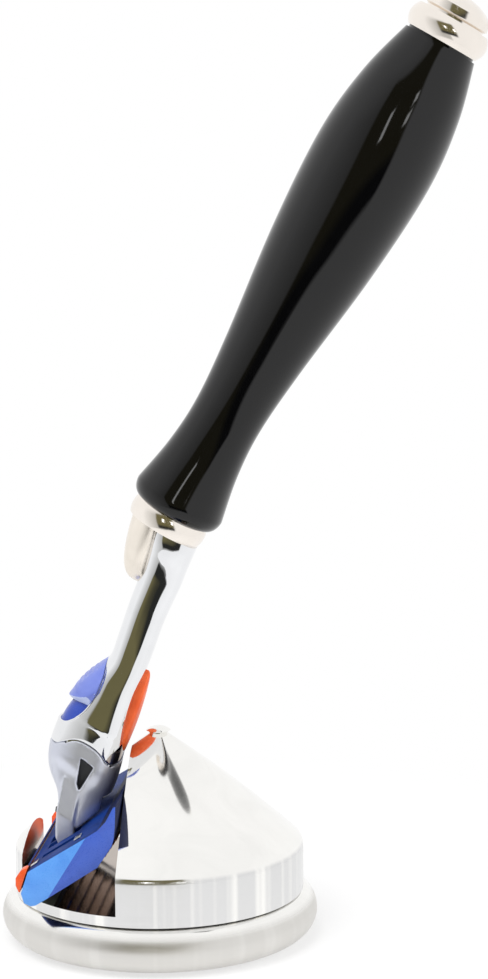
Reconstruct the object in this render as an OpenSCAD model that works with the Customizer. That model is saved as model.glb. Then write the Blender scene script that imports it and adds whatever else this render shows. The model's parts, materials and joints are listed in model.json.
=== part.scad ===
// Polished cone stand with a cartridge razor leaning in its slot.
// Millimetres, +Z up, origin at the middle of the stand's underside, slot along Y.

/* [Stand] */
// Outer radius of the base disc
base_r = 27.4; // [26.5:0.1:32]
// Height of the top of the base disc above the table
base_top = 8.25; // [7:0.05:9]
// Radius of the drum
drum_r = 25; // [24.5:0.1:26]
// Height of the drum above the base disc
drum_h = 8.25; // [7:0.05:10]
// Height of the cone above the drum
cone_h = 20.2; // [17:0.1:24]
// How far the cone's side swells out of straight
cone_swell = 0.45; // [0:0.05:1.2]
// Radius of the rounded shoulder between drum and cone
shoulder_r = 1.2; // [0.6:0.1:2]
// Radius of the rounded tip
tip_r = 3.4; // [2:0.1:5]
// Width of the slot
slot_w = 17.8; // [17.6:0.1:18.6]
// Distance of the slot's middle from the axis
slot_off = 13.4; // [13.3:0.05:13.5]
// Height of the slot's floor above the base disc
slot_floor_h = 1.8; // [1:0.05:2]

/* [Base fastening] */
// Radius of the screw's shank
screw_r = 2.4; // [1.5:0.1:3]
// Length of the screw, head included
screw_len = 20; // [15:0.5:24]
// Radius of the screw's head
screw_head_r = 4.6; // [3.6:0.1:6]
// Radius of the foot pad
pad_r = 21.5; // [12:0.5:22.5]
// Thickness of the foot pad
pad_t = 1.0; // [0.8:0.1:1.6]
// How far the pad stands below the disc
pad_proud = 0.4; // [0.2:0.1:0.6]

/* [Razor pose] */
// Lean of the handle from upright
lean = 30; // [29.5:0.1:30.5]
// Sideways place of the collar's lower face on the handle axis
root_x = 1.38; // [1.3:0.01:1.45]
// Height of the collar's lower face on the handle axis
root_z = 71.33; // [71.3:0.01:71.6]

/* [Handle] */
// Height of the collar
collar_h = 3.2; // [2.4:0.1:4.5]
// Radius of the collar
collar_r = 6.9; // [6:0.1:7.8]
// Length of the black grip
grip_len = 90.8; // [75:0.1:110]
// Radius of the grip's flare at the collar end
flare_r = 8.14; // [7.6:0.02:9]
// Radius of the grip's waist
waist_r = 6.1; // [5.4:0.05:7]
// Radius of the grip's belly
belly_r = 10.34; // [9:0.05:12]
// Radius of the grip at the end cap
grip_end_r = 6.35; // [5.6:0.05:7]
// Radius of the brass tube's outside
tube_r = 4.0; // [3.8:0.05:4.6]
// Wall of the brass tube
tube_wall = 0.5; // [0.35:0.05:0.6]
// Height of the end bead
bead_h = 4.1; // [3:0.1:6]
// Radius of the end bead
bead_r = 7.17; // [6.6:0.05:8]
// Radius of the finial
finial_r = 5.75; // [4.5:0.05:6.5]
// Height of the finial
finial_h = 4.2; // [2.5:0.1:6]
// Length of the tang inside the handle
tang_len = 15; // [10:0.5:25]

/* [Head] */
// Half width of the neck
neck_half = 4.3; // [3.8:0.05:4.8]
// Half width of the head
head_half = 7.5; // [7.3:0.05:7.8]
// Tilt of the docking direction from the handle axis
dock_tilt = 18; // [17:0.5:19]
// Length of the nose that goes into the yoke
nose_len = 6; // [5:0.1:6.4]
// Half width of the nose
nose_half = 5.2; // [4.6:0.05:5.4]
// How far the release button stands proud of the head
button_proud = 0.5; // [0.2:0.05:0.6]
// Thickness of the release button
button_t = 0.8; // [0.6:0.05:0.9]
// Depth of the recess's bed below the head's back
bed_depth = 0.9; // [0.85:0.05:1.2]
// Travel of the release button
button_travel = 2.2; // [1.5:0.1:2.4]
// Thickness of the ejector bar
ejector_t = 1.2; // [0.8:0.1:1.5]
// Radius of the plunger's stem
stem_r = 0.8; // [0.6:0.05:0.9]
// Wire radius of both springs
wire_r = 0.22; // [0.15:0.01:0.26]

/* [Cartridge] */
// Length of the cartridge
cart_len = 42; // [40:0.1:43]
// Angle of the blade face from the handle axis
face_angle = 28; // [27.5:0.1:28.5]
// Distance of the blades' ends from the cartridge's ends
blade_margin = 3; // [2.8:0.1:4]
// Thickness of a blade
blade_t = 0.2; // [0.12:0.02:0.3]
// Distance from blade to blade
blade_pitch = 1.7; // [1.6:0.02:1.76]
// Radius of the pivot pins
pin_r = 0.8; // [0.6:0.05:1.0]
// Distance of the arms' outer faces from the middle
arm_out = 10.2; // [9.6:0.1:10.8]
// Thickness of the arms
arm_t = 2.4; // [1.8:0.1:2.6]
// Width of the metal clips
clip_w = 2.2; // [1.6:0.1:2.6]
// Thickness of the metal clips
clip_t = 0.25; // [0.2:0.05:0.35]

/* [Fits] */
// Gap of pieces that are glued or pressed
snug = 0.02; // [0.01:0.01:0.05]
// Running gap of the pivot pins
pin_gap = 0.04; // [0.02:0.01:0.08]
// Gap of pieces that slide
slide_gap = 0.12; // [0.08:0.01:0.18]
// Gap at the wavy seam between head and yoke
seam_gap = 0.15; // [0.1:0.01:0.25]

/* [Hidden] */
$fn = 96;

// Long enough to cut through anything
far = 200;
// Overlap that keeps a cut or a union from ending flush
over = 0.5;

// Stand levels
drum_top = base_top + drum_h;
cone_top = drum_top + cone_h;
slot_floor = base_top + slot_floor_h;
slot_left = -slot_off - slot_w / 2;
bull_r = (base_top - pad_proud) / 2;

// Handle levels, along the handle axis from the collar's lower face
grip_top = collar_h + grip_len;
bead_top = grip_top + bead_h;
tube_in_r = tube_r - tube_wall;
tang_r = tube_in_r - snug;
tube_len = grip_len - 2;
spigot_len = 10;
stud_r = 2;
stud_len = 5;
stud_room = 6;

// Outline of the grip: share of the grip's length and radius
grip_stations = [
    [0.028, flare_r], [0.118, (flare_r + 3 * waist_r) / 4], [0.213, waist_r],
    [0.344, waist_r + 0.22 * (belly_r - waist_r)], [0.565, waist_r + 0.775 * (belly_r - waist_r)],
    [0.757, belly_r], [0.890, grip_end_r + 0.68 * (belly_r - grip_end_r)], [1, grip_end_r]
];

// Cross sections of neck, head and yoke: level, back edge, front edge, half width
head_sections = [
    [0, -0.6, 6.6, neck_half], [-8.25, 0.28, 7.6, neck_half], [-14.2, 1.2, 8.1, neck_half],
    [-20, 2.3, 9.1, neck_half + 0.3], [-24, 2.9, 9.7, neck_half + 0.9],
    [-28, 2.0, 10.3, head_half - 1.5], [-32, 1.0, 11.3, head_half - 0.8],
    [-36, 0.35, 12.7, head_half - 0.3], [-39.5, 0.6, 13.8, head_half],
    [-42.7, 1.3, 14.6, head_half + 0.3], [-45.5, 2.9, 15.0, head_half + 0.8],
    [-48, 6.0, 15.3, head_half + 1.4], [-51, 8.2, 15.5, head_half + 2.2]
];

// Wavy seam between head and yoke, across and along the handle axis
seam_points = [
    [-6, -43], [1.4, -41.6], [3.1, -40.4], [4.8, -38.9], [6.4, -38.35], [8.6, -38.35],
    [10.2, -38.85], [11.5, -39.65], [12.7, -39.75], [13.6, -39.15], [20, -35]
];

// Side view of the oval recess in the head's back: all that lies behind this curve
recess_points = [
    [2.3, -23.6], [3.05, -24.7], [3.77, -26.6], [4.11, -28.5], [4.27, -30.2], [4.25, -31.9],
    [4.0, -33.5], [3.45, -35], [2.7, -36.3], [1.6, -37.5], [-0.4, -38.4]
];

// Round lower end of the button, seen from behind: level of its middle, half width and drop
button_end_level = 0.12;
button_end_half = 6.1;
button_end_drop = 4.65;

// Button frame: X into the head, Z up along its back, the way that the button slides
button_x = 1.3;
button_z = -29.2;
button_tilt = 17;

// Leg that reaches from the button over the ejector, and the spring under it
leg_half = 1.8;
leg_low = -2.2;
leg_high = -0.2;
leg_reach = 8.5;
spring_x = 3.9;
spring_r = 1.2;
spring_solid = 1.7;
spring_low = leg_low - button_travel - spring_solid;

// Docking frame: its origin in the razor's frame, the nose and the plunger in it
dock_x = 7.4;
dock_z = -39.5;
nose_back = -3.6;
nose_front = 4.6;
plunger_x = -1.9;
ejector_x = 0.6;
ejector_half = 2.4;
ejector_travel = button_travel / cos(button_tilt + dock_tilt);
dock_floor_t = 1.4;

// Ejector bar along the docking direction
ejector_low = -nose_len + ejector_travel;
ejector_high = 6.5;
ejector_gap = 0.12;

// Plunger levels along the docking direction
plunger_tip_r = 1.0;
plunger_tip_z = -14.58;
plunger_rim_r = 1.75;
plunger_rim_z = -13.2;
plunger_rim_t = 0.6;
stem_top = -3.4;
plunger_room = 2.1;
stem_room = 2.2;

// Pivot of the cartridge in the razor's frame, the arms and their room
pivot_x = 13.2;
pivot_z = -54.2;
arm_end_r = 1.7;
arm_outline = [
    [3.4, -43.4], [4.7, -44.9], [6.2, -46], [7.2, -47.3], [8.2, -49.8], [9.4, -52.4], [10.4, -54.2],
    [pivot_x - 0.6, pivot_z - 1.59], [pivot_x, pivot_z], [pivot_x + 0.2, pivot_z + 1.2],
    [11.6, -49.9], [10.4, -46.6], [9.7, -45.1], [8.4, -43]
];
between_arms = 5.6;
back_gap = 0.35;
arm_gap = 0.3;
window_outline = [[7.3, -40.8], [10.1, -41.2], [9.9, -45.6], [9.0, -44.8]];
window_floor = 6.1;

// Cartridge levels, along the normal of the blade face
cart_back = -1.55;
cart_face = 3.9;
pocket_floor = 2.4;
blade_tilt = 24;
blade_w = 1.5;
blade_len = cart_len - 2 * blade_margin;
blade_first = 0.4 - 2 * blade_pitch;
blade_edge = cart_face - 0.1;
pocket_low = blade_first - blade_w * cos(blade_tilt) - 0.3;
pocket_high = blade_first + 4 * blade_pitch + 0.5;
strip_len = blade_len - 2 * clip_w - 2;
clip_y = blade_len / 2 - clip_w / 2;
clip_low = pocket_low - 0.5;
clip_high = pocket_high + 0.35;
clip_foot = 1.2;
lube_low = -7.3;
lube_high = pocket_low - 0.5;
lube_t = 0.9;
lube_proud = 0.1;
pin_len = 4;
rinse_low = -3.6;
rinse_high = 2.8;

// Frame outline: across the blade face and along it
frame_outline = [
    [cart_back, -5.5], [0.95, -8.5], [2.6, -8.9], [3.6, -8.2], [cart_face, -7.4],
    [cart_face, 4.9], [2.1, 8.9], [1.2, 9.9], [-0.4, 11.2], [-3.4, 13.3], [-3.5, 12.9],
    [-2.1, 10.5], [cart_back, 8.5]
];
trim_from = [cart_back, -5.5];
trim_angle = 180 - atan2(2.5, 3);
trim_len = 3.9;
trim_t = 0.2;
trim_bulge = 1.65;
trim_cap = 2.2;
guard_from = [cart_face, 4.9];
guard_angle = -atan2(cart_face - 2.1, 4);
guard_low = 0.5;
guard_high = 4.2;
guard_depth = 0.6;
fin_h = 0.35;
fin_t = 0.35;

// Grip pad on the front of the neck: a drop, half width and level
pad_front_x = 11.0;
pad_front_z = -30.2;
pad_front_tilt = -9;
pad_front_depth = 1.6;
pad_front_crown = 1.35;
pad_crown_z = -2.5;
pad_front_drop = [
    [0, 7.2], [1.5, 5.2], [2.3, 3.2], [2.8, 0.5], [3.2, -2], [3.5, -4.5], [3.3, -6.3], [2.1, -7.7], [0, -8.2]
];

// Helpers

// Catmull-Rom point between b and c
function blend(a, b, c, d, t) =
    0.5 * (2 * b + (c - a) * t + (2 * a - 5 * b + 4 * c - d) * t * t + (3 * b - a - 3 * c + d) * t * t * t);

// Smooth curve through a list of points or rows
function curve(p, steps) = [
    for (i = [0 : len(p) - 2], k = [0 : steps - 1])
        blend(p[max(i - 1, 0)], p[i], p[i + 1], p[min(i + 2, len(p) - 1)], k / steps),
    p[len(p) - 1]
];

// Arc from angle a0 to a1
function arc(cx, cy, r, a0, a1, n) = [
    for (i = [0 : n]) let (a = a0 + (a1 - a0) * i / n) [cx + r * cos(a), cy + r * sin(a)]
];

function sign_pow(v, e) = sign(v) * pow(abs(v), e);

// One ring of a rounded-rectangle section
function ring(row, n, e) = [
    for (i = [0 : n - 1]) let (a = 360 * i / n)
        [(row[1] + row[2]) / 2 + (row[2] - row[1]) / 2 * sign_pow(cos(a), 2 / e),
         row[3] * sign_pow(sin(a), 2 / e), row[0]]
];

// Skin over rings that go downwards
module skin(rows, n, e) {
    pts = [for (r = rows) each ring(r, n, e)];
    m = len(rows);
    sides = [
        for (k = [0 : m - 2], i = [0 : n - 1]) let (j = (i + 1) % n)
            each [[k * n + i, k * n + j, (k + 1) * n + j], [k * n + i, (k + 1) * n + j, (k + 1) * n + i]]
    ];
    caps = [
        for (i = [1 : n - 2]) each [[0, i + 1, i],
            [(m - 1) * n, (m - 1) * n + i, (m - 1) * n + i + 1]]
    ];
    polyhedron(points = pts, faces = concat(sides, caps));
}

// Ring of points round the wire at one place of a coil
function coil_ring(r, pitch, a, w) = [
    for (k = [0 : 5]) let (b = 60 * k)
        [(r + w * cos(b)) * cos(a), (r + w * cos(b)) * sin(a), pitch * a / 360 + w * sin(b)]
];

// Open coil spring, axis up from z = 0, one unbroken wire
module coil(r, height, turns, w) {
    pitch = (height - 2 * w) / turns;
    steps = turns * 8;
    echo(least_gap_of_coil = pitch - 2 * w);
    pts = [for (s = [0 : steps]) each coil_ring(r, pitch, 45 * s, w)];
    sides = [
        for (s = [0 : steps - 1], k = [0 : 5]) let (j = (k + 1) % 6)
            each [[s * 6 + k, s * 6 + j, (s + 1) * 6 + j], [s * 6 + k, (s + 1) * 6 + j, (s + 1) * 6 + k]]
    ];
    caps = [for (k = [1 : 4]) each [[0, k + 1, k], [steps * 6, steps * 6 + k, steps * 6 + k + 1]]];
    translate([0, 0, w]) polyhedron(points = pts, faces = concat(sides, caps));
}

// A flat outline given across and along an axis, made thick sideways
module slab(width) {
    rotate([90, 0, 0]) linear_extrude(width, center = true) children();
}

// Drop-shaped prism along X, grown by a gap
module drop(gap, from, to) {
    side = curve(pad_front_drop, 5);
    other = [for (i = [len(side) - 2 : -1 : 1]) [-side[i][0], side[i][1]]];
    translate([from, 0, 0]) rotate([90, 0, 90]) linear_extrude(to - from) offset(delta = gap)
        polygon(concat(side, other));
}

module in_razor() {
    translate([root_x, 0, root_z]) rotate([0, lean, 0]) children();
}

module in_dock() {
    in_razor() translate([dock_x, 0, dock_z]) rotate([0, -dock_tilt, 0]) children();
}

module in_cartridge() {
    in_razor() translate([pivot_x, 0, pivot_z]) rotate([0, face_angle, 0]) children();
}

module in_button() {
    in_razor() translate([button_x, 0, button_z]) rotate([0, button_tilt, 0]) children();
}

module in_guard() {
    in_cartridge() translate([guard_from[0], 0, guard_from[1]]) rotate([0, guard_angle, 0]) children();
}

module in_trim() {
    in_cartridge() translate([trim_from[0], 0, trim_from[1]]) rotate([0, trim_angle, 0]) children();
}

module in_pad() {
    in_razor() translate([pad_front_x, 0, pad_front_z]) rotate([0, pad_front_tilt, 0]) children();
}

// Stand

module base_disc() {
    color("silver") difference() {
        rotate_extrude() {
            translate([0, pad_proud]) square([base_r - bull_r, 2 * bull_r]);
            translate([base_r - bull_r, pad_proud + bull_r]) circle(bull_r);
        }
        translate([0, 0, pad_proud - over]) cylinder(r = pad_r + snug, h = pad_t - pad_proud + over);
        cylinder(r = screw_r + slide_gap, h = far);
        translate([0, 0, pad_t - snug]) cylinder(r1 = screw_head_r + snug, r2 = screw_r + slide_gap,
            h = screw_head_r - screw_r);
    }
}

module cone_body() {
    a = atan2(cone_h, drum_r);
    side_len = norm([drum_r, cone_h]);
    low = shoulder_r * tan((90 - a) / 2);
    side_from = [drum_r - low * cos(a), drum_top + low * sin(a)];
    tip_reach = tip_r * tan(a / 2);
    tip_flat = tip_r * sin(a);
    tip_level = cone_top - tip_reach * sin(a);
    side_to = [tip_reach * cos(a), tip_level];
    side = [
        for (i = [0 : 16]) let (t = i / 16, p = side_from + (side_to - side_from) * t)
            p + cone_swell * sin(180 * t) * [sin(a), cos(a)]
    ];
    tip_c = tip_level - tip_r * cos(a);
    color("silver") difference() {
        rotate_extrude() polygon(concat(
            [[0, base_top], [drum_r, base_top]],
            arc(drum_r - shoulder_r, drum_top - low, shoulder_r, 0, 90 - a, 6),
            side,
            [for (i = [1 : 8]) let (b = 90 - a + a * i / 8)
                [max(side_to[0] - tip_flat + tip_r * cos(b), 0), tip_c + tip_r * sin(b)]],
            [[0, tip_c + tip_r]]
        ));
        translate([slot_left, -far / 2, slot_floor]) cube([slot_w, far, far]);
        translate([0, 0, base_top - over]) cylinder(r = screw_r + snug, h = screw_len - base_top + pad_t + 2);
    }
}

module base_screw() {
    color("gray") translate([0, 0, pad_t]) {
        cylinder(r1 = screw_head_r, r2 = screw_r, h = screw_head_r - screw_r);
        cylinder(r = screw_r, h = screw_len);
    }
}

module foot_pad() {
    color("dimgray") cylinder(r = pad_r, h = pad_t - snug);
}

// Handle

module handle_grip() {
    body = [for (p = curve(grip_stations, 6)) [p[1], collar_h + grip_len * p[0]]];
    edge = flare_r - collar_r + 0.5;
    first = collar_h + grip_len * grip_stations[0][0];
    color([0.05, 0.05, 0.06]) in_razor() difference() {
        rotate_extrude() polygon(concat(
            [[0, collar_h], [flare_r - edge, collar_h]],
            [for (i = [1 : 5]) let (b = 18 * i - 90)
                [flare_r - edge + edge * cos(b), first + (first - collar_h) * sin(b)]],
            body, [[0, grip_top]]
        ));
        translate([0, 0, collar_h - over]) cylinder(r = tube_r + snug, h = grip_len + 2 * over);
    }
}

module handle_tube() {
    color("goldenrod") in_razor() translate([0, 0, collar_h + 1]) difference() {
        cylinder(r = tube_r, h = tube_len);
        translate([0, 0, -over]) cylinder(r = tube_in_r, h = tube_len + 2 * over);
    }
}

module end_bead() {
    sag = bead_r - grip_end_r;
    color("silver") in_razor() difference() {
        union() {
            translate([0, 0, grip_top]) rotate_extrude() polygon(concat([[0, 0]],
                [for (i = [0 : 12]) let (t = i / 6 - 1) [bead_r - sag * t * t, bead_h * i / 12]],
                [[0, bead_h]]));
            translate([0, 0, grip_top - spigot_len]) cylinder(r = tang_r, h = spigot_len + over);
        }
        translate([0, 0, bead_top - stud_room]) cylinder(r = stud_r + snug, h = stud_room + over);
    }
}

module end_finial() {
    groove_h = 0.5;
    ring_h = 1.6;
    dome_h = finial_h - groove_h - ring_h;
    dome_rise = (finial_r * finial_r + dome_h * dome_h) / (2 * dome_h);
    color("silver") in_razor() translate([0, 0, bead_top]) {
        translate([0, 0, -stud_len]) cylinder(r = stud_r, h = stud_len + over);
        cylinder(r = finial_r - 0.5, h = groove_h + over);
        intersection() {
            translate([0, 0, groove_h]) cylinder(r = finial_r, h = finial_h);
            translate([0, 0, finial_h - dome_rise]) sphere(dome_rise);
        }
    }
}

module collar() {
    bulge = 0.35;
    color("silver") in_razor() rotate_extrude() polygon(concat([[tang_r + snug, 0]],
        [for (i = [0 : 10]) let (t = i / 5 - 1) [collar_r - bulge * t * t, collar_h * i / 10]],
        [[tang_r + snug, collar_h]]));
}

module neck_shroud() {
    shroud_len = 10.4;
    top_r = 5.9;
    lean_back = -6;
    color("gainsboro") in_razor() difference() {
        rotate_extrude() polygon(concat([[0, 0]],
            [for (i = [0 : 14]) let (t = i / 14) [top_r * pow(1 - t, 0.38), -shroud_len * t]]));
        translate([-0.8, 0, 0]) rotate([0, lean_back, 0]) translate([0, -far / 2, -far / 2])
            cube([far, far, far]);
        translate([0, 0, -2 - snug]) cylinder(r = tang_r + snug, h = far);
    }
}

// Head

module head_skin(depth = 0) {
    rows = [for (r = head_sections) [r[0], r[1] + depth, r[2] - depth, r[3] - depth]];
    skin(curve(rows, 2), 28, 2.7);
}

// Everything behind the recess's curve, less a gap
module recess(gap) {
    edge = curve(recess_points, 4);
    back = -far / 10;
    slab(far) offset(delta = -gap)
        polygon(concat(edge, [[back, edge[len(edge) - 1][1]], [back, edge[0][1]]]));
}

// Everything above the button's round lower end
module above_button_end() {
    in_button() translate([-far / 2, 0, button_end_level]) rotate([90, 0, 90]) linear_extrude(far) {
        scale([button_end_half, button_end_drop]) circle(1);
        translate([-far / 2, 0]) square([far, far / 2]);
    }
}

// Everything below the seam, moved down along the docking direction
module below_seam(gap) {
    edge = curve(seam_points, 4);
    translate([gap * sin(dock_tilt), 0, -gap * cos(dock_tilt)]) slab(far)
        polygon(concat(edge, [[edge[len(edge) - 1][0], -far / 2], [edge[0][0], -far / 2]]));
}

// The nose, grown by a gap on its sides and end
module nose(gap) {
    in_dock() translate([nose_back - gap, -nose_half - gap, -nose_len - gap])
        cube([nose_front - nose_back + 2 * gap, 2 * (nose_half + gap), nose_len + gap + 5]);
}

// Box centred sideways, from one level to another across and along
module bar(x0, x1, half, z0, z1) {
    translate([x0, -half, z0]) cube([x1 - x0, 2 * half, z1 - z0]);
}

module neck() {
    g = slide_gap;
    color("silver") difference() {
        union() {
            in_razor() difference() {
                head_skin();
                below_seam(0);
            }
            nose(0);
            in_razor() translate([0, 0, -2]) cylinder(r = tang_r, h = tang_len + 2);
        }
        in_razor() recess(0);
        in_button() {
            bar(0, leg_reach + g, leg_half + g, leg_low - button_travel - g, leg_high + g);
            bar(0, spring_x + spring_r + wire_r + g, leg_half + g, spring_low, leg_high + g);
        }
        in_pad() drop(snug, -pad_front_depth - snug, far);
        in_dock() bar(ejector_x - g, ejector_x + ejector_t + g, ejector_half + g, -nose_len - over,
            ejector_high + g);
        in_dock() translate([plunger_x, 0, -nose_len - over])
            cylinder(r = stem_r + g / 2, h = nose_len + over + stem_top + stem_room);
    }
}

module grip_pad() {
    crown_r = 9;
    long_r = 60;
    color([0.95, 0.42, 0.18]) in_pad() intersection() {
        drop(0, -pad_front_depth, 4);
        translate([pad_front_crown - crown_r, 0, 0]) cylinder(r = crown_r, h = far, center = true);
        translate([pad_front_crown - long_r, 0, pad_crown_z]) rotate([90, 0, 0])
            cylinder(r = long_r, h = far, center = true);
    }
}

module release_button() {
    color([0.45, 0.52, 0.85]) {
        difference() {
            intersection() {
                in_razor() head_skin(-button_proud);
                in_razor() recess(slide_gap);
                above_button_end();
            }
            in_razor() head_skin(button_t - button_proud);
        }
        intersection() {
            in_button() bar(-4, leg_reach, leg_half, leg_low, leg_high);
            in_razor() head_skin(button_t / 2 - button_proud);
        }
    }
}

module button_bed() {
    g = slide_gap;
    color([0.18, 0.31, 0.69]) difference() {
        in_razor() intersection() {
            head_skin(bed_depth);
            recess(snug);
        }
        in_button() bar(-4, far, leg_half + g, leg_low - button_travel - g, leg_high + g);
        in_button() bar(spring_x - spring_r - wire_r - g, far, spring_r + wire_r + g, spring_low, leg_low);
    }
}

module button_spring() {
    color("gray") in_button() translate([spring_x, 0, spring_low])
        coil(spring_r, leg_low - spring_low, 3.5, wire_r);
}

module ejector() {
    color("dimgray") difference() {
        in_dock() bar(ejector_x, ejector_x + ejector_t, ejector_half, ejector_low, ejector_high);
        in_button() bar(-far, far, far / 2, leg_low - ejector_gap, far);
    }
}

module plunger() {
    color("white") in_dock() translate([plunger_x, 0, 0]) {
        translate([0, 0, plunger_tip_z]) sphere(plunger_tip_r);
        translate([0, 0, plunger_tip_z]) cylinder(r = plunger_tip_r, h = plunger_rim_z - plunger_tip_z + 0.1);
        translate([0, 0, plunger_rim_z]) cylinder(r = plunger_rim_r, h = plunger_rim_t);
        translate([0, 0, plunger_rim_z]) cylinder(r = stem_r, h = stem_top - plunger_rim_z);
    }
}

module plunger_spring() {
    low = plunger_rim_z + plunger_rim_t;
    color("gray") in_dock() translate([plunger_x, 0, low]) coil(1.35, -nose_len - low, 7, wire_r);
}

// Cartridge

module yoke() {
    color([0.62, 0.64, 0.69]) difference() {
        union() {
            difference() {
                in_razor() intersection() {
                    head_skin();
                    below_seam(seam_gap);
                }
                in_cartridge() bar(cart_back - back_gap, far, far / 2, -far / 2, far / 2);
                in_dock() bar(-far / 2, far / 2, between_arms, -far, -nose_len - dock_floor_t);
            }
            in_razor() for (s = [-1, 1]) translate([0, s * (arm_out - arm_t / 2), 0]) slab(arm_t) {
                polygon(arm_outline);
                translate([pivot_x, pivot_z]) circle(arm_end_r);
            }
        }
        nose(slide_gap);
        in_dock() translate([plunger_x, 0, -far]) cylinder(r = plunger_room, h = far);
        in_razor() for (s = [-1, 1]) translate([0, s * (window_floor + far / 4), 0]) slab(far / 2)
            polygon(window_outline);
        in_cartridge() rotate([90, 0, 0]) cylinder(r = pin_r + snug, h = far, center = true);
    }
}

module pivot_pins() {
    color("silver") in_cartridge() for (s = [-1, 1]) translate([0, s * arm_out, 0]) rotate([90, 0, 0])
        cylinder(r = pin_r, h = pin_len, center = true);
}

// The middles of the two clips' bands, sideways
module at_clips() {
    for (s = [-1, 1]) translate([0, s * clip_y, 0]) children();
}

module cartridge_frame() {
    room = arm_t / 2 + arm_gap;
    color([0.3, 0.5, 0.85]) difference() {
        in_cartridge() slab(cart_len) polygon(frame_outline);
        in_cartridge() {
            bar(pocket_floor, far, blade_len / 2 + snug, pocket_low, pocket_high);
            bar(cart_face - lube_t - snug, far, strip_len / 2 + snug, lube_low - snug, lube_high + snug);
            for (s = [-1, 1]) {
                translate([0, s * (arm_out - arm_t / 2), 0]) {
                    bar(-far, 1.3, room, -3.4, 3.3);
                    rotate([90, 0, 0]) cylinder(r = arm_end_r + arm_gap, h = 2 * room, center = true);
                }
                translate([0, s * arm_out, 0]) rotate([90, 0, 0])
                    cylinder(r = pin_r + pin_gap, h = pin_len + 2 * arm_gap, center = true);
                translate([0, s * 4.7, 0]) bar(-far, far, 2.0, rinse_low, rinse_high);
                translate([0, s * 14.6, 0]) bar(-far, far, 1.0, rinse_low, rinse_high);
            }
            at_clips() {
                bar(-far, far, clip_w / 2 + snug, clip_low - clip_t / 2 - snug, clip_low + clip_t / 2 + snug);
                bar(-far, far, clip_w / 2 + snug, clip_high - clip_t / 2 - snug, clip_high + clip_t / 2 + snug);
            }
        }
        in_guard() bar(-guard_depth - snug, far, strip_len / 2 + snug, guard_low - snug, guard_high + snug);
    }
}

module blade(i) {
    color("gainsboro") in_cartridge() translate([blade_edge, 0, blade_first + (i - 1) * blade_pitch])
        rotate([0, 180 + blade_tilt, 0]) bar(0, blade_t, blade_len / 2, 0, blade_w);
}

module trimmer_blade() {
    color("gainsboro") in_trim() bar(snug, snug + trim_t, strip_len / 2 + 1, 0.5, trim_len + 0.3);
}

// Outline of the trimmer's guard with a given bulge
function trim_outline(b, low) = [
    [low, -0.2 * b], [max(0.34 * b, low + 0.1), -0.2 * b], [0.7 * b, 0.13 * b], [b, 0.45 * trim_len],
    [0.76 * b, 0.77 * trim_len], [max(0.27 * b, low + 0.1), trim_len], [low, trim_len]
];

module trimmer_guard() {
    low = trim_t + 2 * snug;
    long = cart_len - trim_bulge;
    color([0.95, 0.42, 0.18]) in_trim() {
        slab(long) polygon(trim_outline(trim_bulge / 2, low));
        for (s = [-1, 1]) translate([0, s * (long - trim_cap) / 2, 0]) slab(trim_cap)
            polygon(trim_outline(trim_bulge, low));
    }
}

module guard_strip() {
    color([0.2, 0.25, 0.35]) in_guard() {
        bar(-guard_depth, 0, strip_len / 2, guard_low, guard_high);
        for (i = [0 : 4]) translate([0, 0, guard_low + i * (guard_high - guard_low - fin_t) / 4])
            bar(-over / 2, fin_h, strip_len / 2, 0, fin_t);
    }
}

module lube_strip() {
    color([0.75, 0.85, 0.8]) in_cartridge()
        bar(cart_face - lube_t, cart_face + lube_proud, strip_len / 2, lube_low, lube_high);
}

// Clip band: over the face, through the frame and bent under its back
module clip() {
    h = clip_t / 2;
    foot = cart_back - snug - clip_t;
    bar(cart_face + snug, cart_face + snug + clip_t, clip_w / 2, clip_low - h, clip_high + h);
    bar(foot, cart_face + snug + clip_t, clip_w / 2, clip_low - h, clip_low + h);
    bar(foot, cart_face + snug + clip_t, clip_w / 2, clip_high - h, clip_high + h);
    bar(foot, foot + clip_t, clip_w / 2, clip_low - h, clip_low + clip_foot);
    bar(foot, foot + clip_t, clip_w / 2, clip_high - clip_foot, clip_high + h);
}

module clip_near() {
    color("silver") in_cartridge() translate([0, -clip_y, 0]) clip();
}

module clip_far() {
    color("silver") in_cartridge() translate([0, clip_y, 0]) clip();
}

base_disc();
cone_body();
base_screw();
foot_pad();
handle_grip();
handle_tube();
end_bead();
end_finial();
collar();
neck_shroud();
neck();
grip_pad();
release_button();
button_bed();
button_spring();
ejector();
plunger();
plunger_spring();
yoke();
pivot_pins();
cartridge_frame();
blade(1);  // blade_1
blade(2);  // blade_2
blade(3);  // blade_3
blade(4);  // blade_4
blade(5);  // blade_5
trimmer_blade();
trimmer_guard();
guard_strip();
lube_strip();
clip_near();
clip_far();
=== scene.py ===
import json
import math
import bpy
import bmesh
from mathutils import Matrix, Vector
from mathutils.bvhtree import BVHTree


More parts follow.
